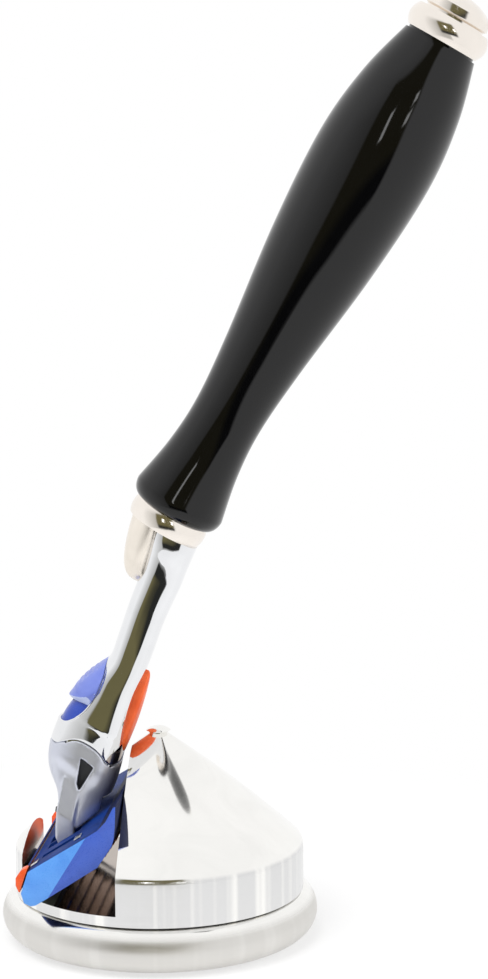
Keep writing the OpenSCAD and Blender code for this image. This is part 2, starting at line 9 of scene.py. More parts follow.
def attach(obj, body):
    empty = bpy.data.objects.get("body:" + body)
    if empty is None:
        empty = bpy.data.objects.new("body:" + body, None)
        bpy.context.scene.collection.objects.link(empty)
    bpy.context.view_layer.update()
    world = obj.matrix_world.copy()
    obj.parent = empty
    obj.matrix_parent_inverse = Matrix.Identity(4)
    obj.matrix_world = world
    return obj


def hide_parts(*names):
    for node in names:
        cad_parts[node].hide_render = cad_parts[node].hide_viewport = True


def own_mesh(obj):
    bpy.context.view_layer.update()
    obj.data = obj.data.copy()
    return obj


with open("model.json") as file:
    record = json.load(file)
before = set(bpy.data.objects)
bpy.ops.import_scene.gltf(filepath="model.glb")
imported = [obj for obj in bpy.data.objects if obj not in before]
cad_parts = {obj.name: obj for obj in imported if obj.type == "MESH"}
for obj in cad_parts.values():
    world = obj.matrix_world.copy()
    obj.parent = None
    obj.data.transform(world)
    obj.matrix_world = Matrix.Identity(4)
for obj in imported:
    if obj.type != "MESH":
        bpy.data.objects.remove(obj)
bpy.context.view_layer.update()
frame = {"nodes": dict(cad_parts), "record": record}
nodes = frame["nodes"]
mm = 0.001
scene = bpy.context.scene
print("frame loaded:", len(nodes), "nodes")


# placing: every piece is modelled in millimetres in its own frame and put in place in its mesh
def turned(place, degrees):
    return Matrix.Translation(Vector(place)) @ Matrix.Rotation(math.radians(degrees), 4, "Y")


places = {"razor": ((1.38, 0, 71.33), 30),  # middle of the collar's lower face
          "dock": ((7.4, 0, -39.5), -18),  # way in which the cartridge docks
          "pivot": ((13.2, 0, -54.2), 28),  # blade face against the handle
          "button": ((1.3, 0, -29.2), 17),  # back of the head
          "pad": ((11.0, 0, -30.2), -9)}  # front of the neck
inStand = Matrix.Identity(4)
inRazor = turned(*places["razor"])
dockInRazor = turned(*places["dock"])
cartridgeInRazor = turned(*places["pivot"])
buttonInRazor = turned(*places["button"])
inDock = inRazor @ dockInRazor
inCartridge = inRazor @ cartridgeInRazor
inButton = inRazor @ buttonInRazor
inPad = inRazor @ turned(*places["pad"])
toMetres = Matrix.Scale(mm, 4)


# materials
def colour(hexCode):
    parts = [int(hexCode[i:i + 2], 16) / 255 for i in (1, 3, 5)]
    return tuple(c / 12.92 if c <= 0.04045 else ((c + 0.055) / 1.055) ** 2.4 for c in parts) + (1,)


def dimmed(hexCode, share):
    return [c * share for c in colour(hexCode)[:3]] + [1]


blend = {"data_type": "RGBA"}
multiply = {"operation": "MULTIPLY"}


def addNode(tree, kind, settings=None, values=None, links=None, out=0):
    node = tree.nodes.new("ShaderNode" + kind)
    for key, value in (settings or {}).items():
        setattr(node, key, value)
    for key, value in (values or {}).items():
        node.inputs[key].default_value = value
    for key, source in (links or {}).items():
        tree.links.new(source, node.inputs[key])
    return node.outputs[out]


def perMetre(sizeMm):
    return 1 / (sizeMm * mm)  # pattern scale for a feature of that size


def spread(low, high, fromLow=0.35, fromHigh=0.65):
    return {"From Min": fromLow, "From Max": fromHigh, "To Min": low, "To Max": high}


def newMaterial(name):
    material = bpy.data.materials.new(name)
    material.use_nodes = True
    tree = material.node_tree
    return material, tree, addNode(tree, "TexCoord", out="Object")


def dressed(material, tint, rough, metallic=1.0, height=None, depth=0.0, reachMm=0.0):
    tree = material.node_tree
    shader = tree.nodes["Principled BSDF"].inputs
    tree.links.new(tint, shader["Base Color"])
    tree.links.new(rough, shader["Roughness"])
    shader["Metallic"].default_value = metallic
    if height:
        bump = addNode(tree, "Bump", values={"Strength": depth, "Distance": reachMm * mm},
                       links={"Height": height})
        tree.links.new(bump, shader["Normal"])
    return material


# turned steel: fine rings from the lathe, drawn coarser than real so that they show; polished above one
# level, satin below it, where the colour is darker as painted shade and carries light painted reflection
# streaks
def turnedMetal(name, hexCode, paintedSatinShade, polished, satin, ringMm, ringDepth, levels, paintedStreak):
    material, tree, where = newMaterial(name)
    x, y, z = addNode(tree, "SeparateXYZ", links={"Vector": where}).node.outputs
    across = addNode(tree, "CombineXYZ", links={"X": x, "Y": y})
    radius = addNode(tree, "VectorMath", {"operation": "LENGTH"}, links={0: across}, out="Value")
    angle = addNode(tree, "Math", {"operation": "ARCTAN2"}, links={0: y, 1: x})
    slow = addNode(tree, "Math", multiply, {1: 0.6 * mm}, {0: angle})  # rings change little round the axis
    lathe = addNode(tree, "CombineXYZ", links={"X": radius, "Y": slow, "Z": z})
    rings = addNode(tree, "TexNoise", values={"Scale": perMetre(ringMm), "Detail": 3},
                    links={"Vector": lathe})
    smears = addNode(tree, "TexNoise", values={"Scale": perMetre(9), "Detail": 4, "Distortion": 0.8},
                     links={"Vector": where})
    both = addNode(tree, "Math", multiply, links={0: rings, 1: smears})
    upper = addNode(tree, "MapRange", values=spread(0, 1, levels[0] * mm, levels[1] * mm), links={"Value": z})
    streaks = addNode(tree, "TexNoise", {"noise_dimensions": "1D"},  # painted reflection streaks that run up the wall
                      {"Scale": 5, "Detail": 2, "Roughness": 0.6}, {"W": angle})
    roughs = [addNode(tree, "MapRange", values=spread(shine, dull, 0.12, 0.4), links={"Value": both})
              for dull, shine in (satin, polished)]
    rough = addNode(tree, "Mix", links={0: upper, 2: roughs[0], 3: roughs[1]})
    bright = colour(hexCode)
    # painted reflection: lighter streaks over the satin colour, which is darker as painted shade
    paintedStreakShare = addNode(tree, "MapRange", values=spread(0, paintedStreak, 0.5, 0.66), links={"Value": streaks})
    lower = addNode(tree, "Mix", blend, {6: colour(paintedSatinShade), 7: bright}, {0: paintedStreakShare}, 2)
    smeared = addNode(tree, "MapRange", values=spread(0, 1), links={"Value": smears})
    top = addNode(tree, "Mix", blend, {6: bright, 7: dimmed(hexCode, 0.95)}, {0: smeared}, 2)
    tint = addNode(tree, "Mix", blend, links={0: upper, 6: lower, 7: top}, out=2)
    return dressed(material, tint, rough, 1, rings, ringDepth, 0.01)


# bright plating: mirror with faint handling marks
def platedMetal(name, hexCode, dull, shine, markMm=6):
    material, tree, where = newMaterial(name)
    marks = addNode(tree, "TexNoise", values={"Scale": perMetre(markMm), "Detail": 5, "Distortion": 0.6},
                    links={"Vector": where})
    share = addNode(tree, "MapRange", values=spread(0, 1), links={"Value": marks})
    tint = addNode(tree, "Mix", blend, {6: colour(hexCode), 7: dimmed(hexCode, 0.95)}, {0: share}, 2)
    rough = addNode(tree, "MapRange", values=spread(shine, dull), links={"Value": marks})
    return dressed(material, tint, rough)


# brushed or ground metal: streaks along one direction
def brushedMetal(name, hexCode, dull, shine, streakMm, stretch):
    material, tree, where = newMaterial(name)
    pulled = addNode(tree, "Mapping", values={"Scale": stretch}, links={"Vector": where})
    streaks = addNode(tree, "TexNoise", values={"Scale": perMetre(streakMm), "Detail": 4},
                      links={"Vector": pulled})
    share = addNode(tree, "MapRange", values=spread(0, 1), links={"Value": streaks})
    tint = addNode(tree, "Mix", blend, {6: colour(hexCode), 7: dimmed(hexCode, 0.88)}, {0: share}, 2)
    rough = addNode(tree, "MapRange", values=spread(shine, dull), links={"Value": streaks})
    return dressed(material, tint, rough, 1, streaks, 0.15, 0.02)


# moulded plastic or rubber: faint flow marks in the colour and a fine grain from the mould
def mouldedPlastic(name, hexCode, darkCode, dull, shine, grainMm, grainDepth, bend=1.5, flake=0.0, gloss=0.5):
    material, tree, where = newMaterial(name)
    flow = addNode(tree, "TexNoise", values={"Scale": perMetre(5), "Detail": 3, "Distortion": 1.2},
                   links={"Vector": where})
    grain = addNode(tree, "TexNoise", values={"Scale": perMetre(grainMm), "Detail": 2},
                    links={"Vector": where})
    share = addNode(tree, "MapRange", values=spread(0, 1, 0.3, 0.7), links={"Value": flow})
    tint = addNode(tree, "Mix", blend, {6: colour(hexCode), 7: colour(darkCode)}, {0: share}, 2)
    rough = addNode(tree, "MapRange", values=spread(shine, dull), links={"Value": grain})
    shader = tree.nodes["Principled BSDF"].inputs
    shader["IOR"].default_value = bend
    shader["Specular IOR Level"].default_value = gloss
    return dressed(material, tint, rough, flake, grain, grainDepth, 0.03)


finishes = {
    # stainless steel, turned: a mirror where it is polished, soft grey where it is left satin; that grey is
    # partly painted shade, with painted reflection streaks, strong on the drum and faint on the base
    "polished_steel": turnedMetal("polishedStandSteel", "#F8F7F4", "#DEDEDE", (0.08, 0.05), (0.26, 0.18),
                                  0.35, 0.03, (16, 16.6), 1.0),
    "satin_base": turnedMetal("satinTurnedSteel", "#F8F7F4", "#DAD8D4", (0.14, 0.1), (0.42, 0.34),
                              0.35, 0.05, (6.2, 7.3), 0.18),
    "slot_steel": platedMetal("slotSteelPaintedShade", "#B0A49A", 0.12, 0.08),  # a dim, brownish mirror: painted shade and brown painted reflection
    # plating: clear in chrome, warmer in nickel, hazy in silver, dull in zinc
    "bright_chrome": platedMetal("brightChromePlate", "#EDEEF0", 0.06, 0.03),
    "warm_silver": platedMetal("nickelPlatedRing", "#F5EEE6", 0.16, 0.1),
    "satin_silver": platedMetal("satinSilverShroud", "#F6EEE3", 0.36, 0.28, 4),
    "clip_metal": platedMetal("brightClipMetal", "#DCDDDE", 0.2, 0.1),
    "zinc_steel": platedMetal("zincPlatedScrew", "#B9BCBD", 0.4, 0.25),
    # drawn or ground metal: glints that run along the streaks
    "tube_brass": brushedMetal("drawnBrassTube", "#C9A95C", 0.4, 0.25, 0.4, (1, 1, 0.1)),
    "spring_steel": brushedMetal("springWire", "#B4B6B8", 0.35, 0.22, 0.2, (1, 1, 1)),
    # blade steel tinted brown: painted reflection of a brown room
    "blade_steel": brushedMetal("bladeSteelPaintedBrownReflection", "#A08474", 0.3, 0.16, 0.12, (1, 0.05, 1)),
    # cast resin, polished: deep black with sharp reflections
    "black_resin": mouldedPlastic("polishedBlackResin", "#060607", "#040405", 0.07, 0.04, 0.4, 0.02, 1.45),
    # moulded rubber and gel: dull, with no clear reflections
    "pad_rubber": mouldedPlastic("padRubber", "#1B1B1C", "#141415", 0.85, 0.7, 0.5, 0.4),
    "orange_rubber": mouldedPlastic("orangeGripRubber", "#F26A30", "#E4571F", 0.5, 0.38, 0.2, 0.12),
    "guard_rubber": mouldedPlastic("guardRubber", "#B05A34", "#964826", 0.6, 0.5, 0.15, 0.15),
    "strip_gel": mouldedPlastic("waxyGelStrip", "#D2E6DC", "#B8D6CA", 0.55, 0.4, 0.15, 0.2),
    # moulded plastic: even colour with a soft sheen; flake makes the yoke silvery
    "grey_plastic": mouldedPlastic("silverFlakePlastic", "#D2D5DF", "#C8CBD7", 0.34, 0.3, 0.2, 0.01,
                                   flake=0.7),
    "dark_plastic": mouldedPlastic("darkAcetalAndPaintedWindowShade", "#2A2B2E", "#202124", 0.5, 0.38, 0.2, 0.1),
    "orange_plastic": mouldedPlastic("orangeTrimmerPlastic", "#F26328", "#DE5018", 0.35, 0.25, 0.2, 0.06),
    "button_blue": mouldedPlastic("buttonBluePlastic", "#7686D2", "#6474C6", 0.4, 0.28, 0.18, 0.12),
    # painted highlight: pale blue for the button's lit lower edge
    "button_edge": mouldedPlastic("paleBluePaintedHighlight", "#BECAEE", "#AEBBE6", 0.4, 0.28, 0.18, 0.08),
    # the button bed's deep blue is its plastic colour, darkened as painted shade of the recess
    "deep_blue": mouldedPlastic("deepBluePlasticPaintedShade", "#2C4CB2", "#203C9C", 0.3, 0.2, 0.2, 0.06),
    "frame_blue": mouldedPlastic("lightBlueFramePlastic", "#5B9BE6", "#4C8ADC", 0.36, 0.26, 0.2, 0.06),
    # painted shade: a deeper blue for the end facet beyond the crease
    "frame_deep": mouldedPlastic("frameBluePaintedShadeFacet", "#3E62C6", "#3353B4", 0.36, 0.26, 0.2, 0.06),
    # painted shade: a darker blue for the frame's back and inner walls
    "frame_inside": mouldedPlastic("frameBluePaintedInsideShade", "#123680", "#0C2660", 0.62, 0.5, 0.2, 0.06,
                                   gloss=0.12),
    # painted shade: dark navy for the frame's tail and blade side
    "frame_shade": mouldedPlastic("frameNavyPaintedShade", "#121C44", "#0C1434", 0.62, 0.5, 0.2, 0.06, gloss=0.12),
}
recordSlots = {row["node"]: row["material_slot"] for row in frame["record"]["subparts"]}
for nodeName, node in nodes.items():
    node.data.materials.clear()
    node.data.materials.append(finishes[recordSlots[nodeName]])
print("materials made:", len(finishes))


# mesh helpers
near = 1e-3  # two places this close are the same


def shares(count):
    return [i / count for i in range(count + 1)]


def smoothCurve(points, steps):
    rows = []
    for i in range(len(points) - 1):
        a, b = points[max(i - 1, 0)], points[i]
        c, d = points[i + 1], points[min(i + 2, len(points) - 1)]
        for t in shares(steps)[:-1]:
            rows.append(tuple(0.5 * (2 * q + (r - p) * t + (2 * p - 5 * q + 4 * r - s) * t * t
                                     + (3 * q - p - 3 * r + s) * t ** 3) for p, q, r, s in zip(a, b, c, d)))
    return rows + [tuple(points[-1])]


def arcPoints(cx, cz, radius, start, end, steps):
    turns = [math.radians(start + (end - start) * t) for t in shares(steps)]
    return [(cx + radius * math.cos(t), cz + radius * math.sin(t)) for t in turns]


# where equal steps along a path fall: the number of the point before and the share of the way to the next
def evenSteps(points, count):
    run = [0.0]
    for a, b in zip(points, points[1:]):
        run.append(run[-1] + (b - a).length)
    steps, k = [], 0
    for i in range(count):
        goal = run[-1] * i / count
        while run[k + 1] < goal:
            k += 1
        steps.append((k, (goal - run[k]) / (run[k + 1] - run[k])))
    return steps


def solidObject(bm, name):
    mesh = bpy.data.meshes.new(name)
    bm.to_mesh(mesh)
    bm.free()
    obj = bpy.data.objects.new(name, mesh)
    scene.collection.objects.link(obj)
    return obj


def piece(bm, name, place, body, node, finish=None, sharp=40, more=()):
    bm.transform(toMetres @ place)
    obj = solidObject(bm, name)
    mesh = obj.data
    mesh.polygons.foreach_set("use_smooth", [True] * len(mesh.polygons))
    mesh.set_sharp_from_angle(angle=math.radians(sharp))
    for key in (finish or recordSlots[node], *more):
        mesh.materials.append(finishes[key])
    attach(obj, body)
    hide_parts(node)
    return obj


def spun(outline, steps, closed=False):
    bm = bmesh.new()
    verts = [bm.verts.new((r, 0, z)) for r, z in outline]
    ends = verts[1:] + verts[:1] if closed else verts[1:]
    edges = [bm.edges.new(pair) for pair in zip(verts, ends)]
    bmesh.ops.spin(bm, geom=verts + edges, axis=(0, 0, 1), cent=(0, 0, 0), angle=2 * math.pi,
                   steps=steps, use_merge=True)
    bmesh.ops.remove_doubles(bm, verts=bm.verts, dist=1e-5)
    bmesh.ops.recalc_face_normals(bm, faces=bm.faces)
    return bm


def lofted(rings, closed=False):
    bm = bmesh.new()
    loops = []
    for points in rings:
        verts = [bm.verts.new(p) for p in points]
        loops.append([bm.edges.new((verts[i - 1], verts[i])) for i in range(len(verts))])
    for lower, upper in zip(loops, loops[1:] + loops[:1] if closed else loops[1:]):
        bmesh.ops.bridge_loops(bm, edges=lower + upper)
    if not closed:
        for end in (loops[0], loops[-1]):
            bmesh.ops.contextual_create(bm, geom=end)
    bmesh.ops.recalc_face_normals(bm, faces=bm.faces)
    return bm


def fromNode(nodeName, place):
    bm = bmesh.new()
    bm.from_mesh(nodes[nodeName].data)
    bm.transform(place.inverted() @ Matrix.Scale(1 / mm, 4))
    bmesh.ops.remove_doubles(bm, verts=bm.verts, dist=1e-4)
    bmesh.ops.dissolve_limit(bm, angle_limit=math.radians(0.5), verts=bm.verts, edges=bm.edges)
    return bm


def softened(bm, width, segments=2, least=25):
    edges = [e for e in bm.edges if len(e.link_faces) == 2 and e.calc_face_angle(0) > math.radians(least)]
    bmesh.ops.bevel(bm, geom=edges, offset=width, segments=segments, profile=0.5, material=-1,
                    affect="EDGES", clamp_overlap=True)


def allOf(bm):
    return bm.verts[:] + bm.edges[:] + bm.faces[:]


def trimmed(bm, spot, way):
    bmesh.ops.bisect_plane(bm, geom=allOf(bm), dist=1e-4, clear_outer=True, plane_co=spot, plane_no=way)
    bmesh.ops.holes_fill(bm, edges=[e for e in bm.edges if len(e.link_faces) == 1])
    bmesh.ops.recalc_face_normals(bm, faces=bm.faces)
    return bm


# stand: round-edged disc, and a cone on a drum with a slot across it
stand = {"baseR": 27.38, "baseTop": 8.25, "proud": 0.4, "padR": 21.52, "padTop": 1.0, "holeR": 2.52,
         "sinkR": 4.62, "sinkTop": 3.1, "drumR": 25.0, "drumTop": 16.5, "coneTop": 36.7, "swell": 0.45,
         "shoulder": 2.0, "tip": 3.4, "slotLeft": -22.3, "slotRight": -4.5, "floor": 10.05, "snap": 0.12,
         "edge": 0.06, "steps": 192}


def makeBase(s):
    bull = (s["baseTop"] - s["proud"]) / 2
    outline = [(s["holeR"], s["baseTop"]), (s["baseR"] - bull, s["baseTop"])]
    outline += arcPoints(s["baseR"] - bull, s["proud"] + bull, bull, 90, -90, 28)[1:]
    outline += [(s["padR"], s["proud"]), (s["padR"], s["padTop"]), (s["sinkR"], s["padTop"]),
                (s["holeR"], s["sinkTop"])]
    piece(spun(outline, s["steps"], True), "baseDisc", inStand, "stand", "base_disc", "satin_base")


def makeCone(s):
    slope = math.atan2(s["coneTop"] - s["drumTop"], s["drumR"])
    low = s["shoulder"] * math.tan((math.pi / 2 - slope) / 2)
    start = Vector((s["drumR"] - low * math.cos(slope), s["drumTop"] + low * math.sin(slope)))
    reach = s["tip"] * math.tan(slope / 2)
    end = Vector((reach * math.cos(slope), s["coneTop"] - reach * math.sin(slope)))
    out = Vector((math.sin(slope), math.cos(slope)))
    flat = 90 - math.degrees(slope)
    wall = s["drumTop"] - low - s["baseTop"]
    outline = [(0, s["baseTop"]), (s["drumR"] - s["edge"], s["baseTop"]),
               (s["drumR"], s["baseTop"] + s["edge"])]
    outline += [(s["drumR"], s["baseTop"] + wall * t) for t in shares(8)[1:-1]]
    outline += arcPoints(s["drumR"] - s["shoulder"], s["drumTop"] - low, s["shoulder"], 0, flat, 8)
    outline += [tuple(start.lerp(end, t) + out * s["swell"] * math.sin(math.pi * t))
                for t in shares(40)[1:-1]]
    outline += arcPoints(0, end.y - s["tip"] * math.cos(slope), s["tip"], flat, 90, 10)
    outline[-1] = (0, outline[-1][1])
    bm = spun(outline, s["steps"])
    sides = [(0, s["slotRight"]), (0, s["slotLeft"]), (2, s["floor"])]  # axis and place
    for axis, place in sides:
        way = Vector([1 if i == axis else 0 for i in range(3)])
        bmesh.ops.bisect_plane(bm, geom=allOf(bm), dist=s["snap"], plane_co=way * place, plane_no=way,
                               use_snap_center=True)
    inside = []
    for face in bm.faces:
        c = face.calc_center_median()
        if s["slotLeft"] < c.x < s["slotRight"] and c.z > s["floor"]:
            inside.append(face)
    bmesh.ops.delete(bm, geom=inside, context="FACES")
    for axis, place in sides:
        if axis == 0:  # straight lower edge of the slot's wall
            corners = [v for v in bm.verts
                       if abs(v.co.x - place) < near and abs(v.co.z - s["floor"]) < near]
            corners.sort(key=lambda v: v.co.y)
            bm.edges.new((corners[0], corners[-1]))
        rim = [e for e in bm.edges
               if len(e.link_faces) < 2 and all(abs(v.co[axis] - place) < near for v in e.verts)]
        bmesh.ops.contextual_create(bm, geom=rim)
    bmesh.ops.recalc_face_normals(bm, faces=bm.faces)
    for face in bm.faces:  # the slot is milled after the turning; its faces take the dim steel of painted shade and brown painted reflection
        c, n = face.calc_center_median(), face.normal
        milled = any(abs(c[axis] - place) < near for axis, place in sides) and max(abs(n.x), abs(n.z)) > 0.99
        face.material_index = 1 if milled else 0
    piece(bm, "coneBody", inStand, "stand", "cone_body", sharp=20, more=["slot_steel"])


makeBase(stand)
makeCone(stand)
print("stand made")


# handle: grip, collar, end cap and finial, all turned; stations are radius and level
handle = {"collarH": 3.2, "collarR": 6.9, "collarBulge": 0.35, "tangR": 3.48, "fit": 0.02, "boreR": 4.02,
          "stations": [(8.14, 5.74), (6.61, 13.9), (6.1, 22.5), (7.03, 34.4), (9.39, 54.5), (10.34, 71.9),
                       (9.06, 84.0), (6.35, 94.0)],
          "gripTop": 94.0, "gripEnd": 6.35, "flareEdge": 1.74, "joint": 0.45, "jointDeep": 0.45,
          "jointR": 6.48, "beadH": 4.1, "beadR": 7.17, "spigot": 10, "studR": 2, "studLen": 5, "studHole": 6,
          "finialR": 5.75, "finialH": 4.2, "footIn": 0.5, "footH": 0.35, "rimR": 0.35, "rimLow": 0.85,
          "rimTop": 1.6, "domeFrom": 2.1, "steps": 128}


def makeHandle(h):
    flareR, flareZ = h["stations"][0]
    drop = flareZ - h["collarH"]
    turns = [math.radians(a) for a in range(-90, 0, 10)]
    foot = [(flareR - h["flareEdge"] * (1 - math.cos(a)), flareZ + drop * math.sin(a)) for a in turns]
    top = h["gripTop"]
    low, deep = top - h["joint"], h["jointR"] - h["jointDeep"]  # narrow groove under the end cap
    body = [spot for spot in smoothCurve(h["stations"], 12) if spot[1] < low]
    body += [(h["jointR"], low), (deep, low), (deep, top), (h["boreR"], top)]
    grip = [(h["boreR"], h["collarH"])] + foot + body
    piece(spun(grip, h["steps"], True), "handleGrip", inRazor, "handle", "handle_grip")

    hole = h["tangR"] + h["fit"]
    ring = [(h["collarR"] - h["collarBulge"] * (2 * t - 1) ** 2, h["collarH"] * t) for t in shares(12)]
    ring = [(hole, 0)] + ring + [(hole, h["collarH"])]
    piece(spun(ring, h["steps"], True), "collarRing", inRazor, "handle", "collar", "warm_silver")

    sag, hole = h["beadR"] - h["gripEnd"], h["studR"] + h["fit"]
    low = top + h["beadH"]
    bead = [(0, top - h["spigot"]), (h["tangR"], top - h["spigot"]), (h["tangR"], top)]
    bead += [(h["beadR"] - sag * (2 * t - 1) ** 2, top + h["beadH"] * t) for t in shares(20)]
    bead += [(hole, low), (hole, low - h["studHole"]), (0, low - h["studHole"])]
    piece(spun(bead, h["steps"]), "endBead", inRazor, "handle", "end_bead", "warm_silver")

    domeH = h["finialH"] - h["domeFrom"]
    domeR = (h["finialR"] ** 2 + domeH ** 2) / (2 * domeH)
    half = math.degrees(math.asin(h["finialR"] / domeR))
    foot = h["finialR"] - h["footIn"]
    cap = [(0, low - h["studLen"]), (h["studR"], low - h["studLen"]), (h["studR"], low), (foot, low),
           (foot, low + h["footH"])]
    cap += arcPoints(h["finialR"] - h["rimR"], low + h["rimLow"], h["rimR"], -90, 0, 5)
    cap += [(h["finialR"], low + h["rimTop"])]
    cap += arcPoints(0, low + h["finialH"] - domeR, domeR, 90 - half, 90, 14)
    cap[-1] = (0, cap[-1][1])
    piece(spun(cap, h["steps"]), "endFinial", inRazor, "handle", "end_finial", "warm_silver")


makeHandle(handle)
print("handle made")


# carving with solid shapes, in millimetres
far = 60  # past every piece


def finishedShape(obj, helpers=()):
    shape = bpy.data.meshes.new_from_object(obj.evaluated_get(bpy.context.evaluated_depsgraph_get()))
    bm = bmesh.new()
    bm.from_mesh(shape)
    for extra in (obj, *helpers):
        mesh = extra.data
        bpy.data.objects.remove(extra)
        bpy.data.meshes.remove(mesh)
    bpy.data.meshes.remove(shape)
    return bm


def carved(bm, steps):
    obj = solidObject(bm, "carving")
    tools = []
    for operation, tool in steps:
        tools.append(solidObject(tool, "carvingTool"))
        boolean = obj.modifiers.new("carve", "BOOLEAN")
        boolean.operation = operation
        boolean.solver = "EXACT"
        boolean.object = tools[-1]
    return finishedShape(obj, tools)


def remoulded(bm, grain, rounds):
    obj = solidObject(bm, "moulding")
    remesh = obj.modifiers.new("remesh", "REMESH")
    remesh.mode = "VOXEL"
    remesh.voxel_size = grain
    smooth = obj.modifiers.new("smooth", "SMOOTH")
    smooth.factor = 0.5
    smooth.iterations = rounds
    return finishedShape(obj)


def joined(bm, *others):
    for other in others:
        mesh = bpy.data.meshes.new("joined")
        other.to_mesh(mesh)
        other.free()
        bm.from_mesh(mesh)
        bpy.data.meshes.remove(mesh)


# outline across and along an axis, made thick sideways
def prism(outline, low=-far, high=far, place=inStand):
    bm = bmesh.new()
    face = bm.faces.new([bm.verts.new((x, low, z)) for x, z in outline])
    swept = bmesh.ops.extrude_face_region(bm, geom=[face])
    moved = [g for g in swept["geom"] if isinstance(g, bmesh.types.BMVert)]
    bmesh.ops.translate(bm, verts=moved, vec=(0, high - low, 0))
    bmesh.ops.recalc_face_normals(bm, faces=bm.faces)
    bm.transform(place)
    return bm


def block(low, high, place):
    bm = bmesh.new()
    bmesh.ops.create_cube(bm, size=1)
    bmesh.ops.scale(bm, verts=bm.verts, vec=Vector(high) - Vector(low))
    bmesh.ops.translate(bm, verts=bm.verts, vec=(Vector(low) + Vector(high)) / 2)
    bm.transform(place)
    return bm


def rod(radius, low, high, place=inStand):
    bm = bmesh.new()
    bmesh.ops.create_cone(bm, cap_ends=True, segments=48, radius1=radius, radius2=radius, depth=high - low)
    bmesh.ops.translate(bm, verts=bm.verts, vec=(0, 0, (low + high) / 2))
    bm.transform(place)
    return bm


# neck, head and yoke share one skin; sections are level, back edge, front edge and half width
head = {"sections": [(0, -2.4, 6.6, 5.2), (-1.6, -1.9, 6.8, 5.2), (-3, -1.45, 6.95, 4.95),
                     (-4.5, -0.9, 7.1, 4.6), (-6.5, -0.2, 7.4, 4.36), (-8.25, 0.28, 7.6, 4.3),
                     (-14.2, 1.2, 8.1, 4.3), (-20, 2.3, 9.1, 4.6), (-24, 2.9, 9.7, 5.2),
                     (-28, 2.0, 10.3, 6.0), (-32, 1.0, 11.3, 6.7),
                     (-36, 0.35, 12.7, 7.2), (-39.5, 0.6, 13.8, 7.5), (-42.7, 1.3, 14.6, 7.8),
                     (-45.5, 2.9, 15.0, 8.3), (-48, 6.0, 15.3, 8.9), (-51, 8.2, 15.5, 9.7)],
        "square": 2.7, "around": 128, "evenAt": -30, "steps": 10, "solidStep": 0.4,
        "lean": [(0, 0), (-20, 0), (-27, 0.1), (-32, 0.24), (-37, 0.26), (-41, 0.25), (-42.5, 0.24),
                 (-46.5, 0), (-60, 0)],
        "slim": [(0, 1), (-32, 1), (-35, 0.985), (-37.5, 0.95), (-40, 0.915), (-42, 0.95), (-44, 0.97)],
        "seam": [(-6, -43), (1.4, -41.6), (3.1, -40.4), (4.8, -38.9), (6.4, -38.35), (8.6, -38.35),
                 (10.2, -38.85), (11.5, -39.65), (12.7, -39.75), (13.6, -39.15), (20, -35)],
        "seamGap": 0.15, "straightTo": -22, "ringStep": 0.5, "lowRings": 44, "lip": 0.3, "turnIn": 1.6,
        "noseBack": -3.6, "noseFront": 4.6, "noseHalf": 5.2, "noseLen": 6.0, "noseRoot": 2.0, "noseEdge": 0.3,
        "tangR": 3.48, "tangLen": 15}
headRows = smoothCurve(head["sections"], head["steps"])
leanRows = smoothCurve(head["lean"], 6)
slimRows = smoothCurve(head["slim"], 6)
seamRows = smoothCurve(head["seam"], 8)


def between(rows, value):
    for a, b in zip(rows, rows[1:]):
        if min(a[0], b[0]) <= value <= max(a[0], b[0]) and a[0] != b[0]:
            t = (value - a[0]) / (b[0] - a[0])
            return [p + (q - p) * t for p, q in zip(a, b)]
    return list(rows[0] if abs(rows[0][0] - value) < abs(rows[-1][0] - value) else rows[-1])


def narrowed(level, share):
    return 1 - between(leanRows, level)[1] * (1 - share) / 2  # slimmer towards the button


def skinPoint(level, turn, inset=0.0):
    _, back, front, half = between(headRows, level)
    c, s = math.cos(turn), math.sin(turn)
    power = 2 / head["square"]
    share = math.copysign(abs(c) ** power, c)
    x = (back + front) / 2 + ((front - back) / 2 - inset) * share
    return Vector((x, (half - inset) * narrowed(level, share) * math.copysign(abs(s) ** power, s), level))


def skinHalf(level, x):
    _, back, front, half = between(headRows, level)
    share = abs(2 * x - back - front) / (front - back)
    if share >= 1:
        return 0.0
    lean = narrowed(level, math.copysign(share, 2 * x - back - front))
    return half * lean * (1 - share ** head["square"]) ** (1 / head["square"])


# equal steps along the section, not in angle
fineTurns = [2 * math.pi * t for t in shares(2000)]
fineRing = [skinPoint(head["evenAt"], t) for t in fineTurns]
headTurns = [fineTurns[k] + (fineTurns[k + 1] - fineTurns[k]) * t
             for k, t in evenSteps(fineRing, head["around"])]


def seamLevel(turn):
    level = head["seam"][3][1]
    for i in range(30):  # settles where the skin crosses the seam
        level = 0.5 * level + 0.5 * between(seamRows, skinPoint(level, turn).x)[1]
    return level


def skinSolid(inset, top, bottom, fade=None):
    rings = []
    for t in shares(int((top - bottom) / head["solidStep"])):
        level = top - (top - bottom) * t
        depth = inset if fade is None else between(fade, level)[1]
        rings.append([skinPoint(level, turn, depth) for turn in headTurns])
    return lofted(rings)


# silver tongue behind the neck, cut along it
shroud = {"length": 10.4, "topR": 5.9, "taper": 0.38, "cutX": -1.0, "cutTilt": 12, "roll": 2.6, "rows": 40,
          "steps": 160}


def makeShroud(s):
    outline = [(s["topR"] * (1 - t) ** s["taper"], -s["length"] * t) for t in shares(s["rows"])]
    bm = spun([(0, 0)] + outline, s["steps"])
    tilt = math.radians(s["cutTilt"])
    for v in bm.verts:  # its edges roll in to the neck
        cut = s["cutX"] - v.co.z * math.tan(tilt)
        share = min(max((v.co.x - cut) / s["roll"] + 1, 0), 1)
        reach = math.copysign(min(abs(v.co.y), skinHalf(v.co.z, cut)), v.co.y)
        v.co.y += (reach - v.co.y) * (1 - math.sqrt(1 - share ** 2))
    trimmed(bm, (s["cutX"], 0, 0), (math.cos(tilt), 0, math.sin(tilt)))
    piece(bm, "neckShroud", inRazor, "handle", "neck_shroud")


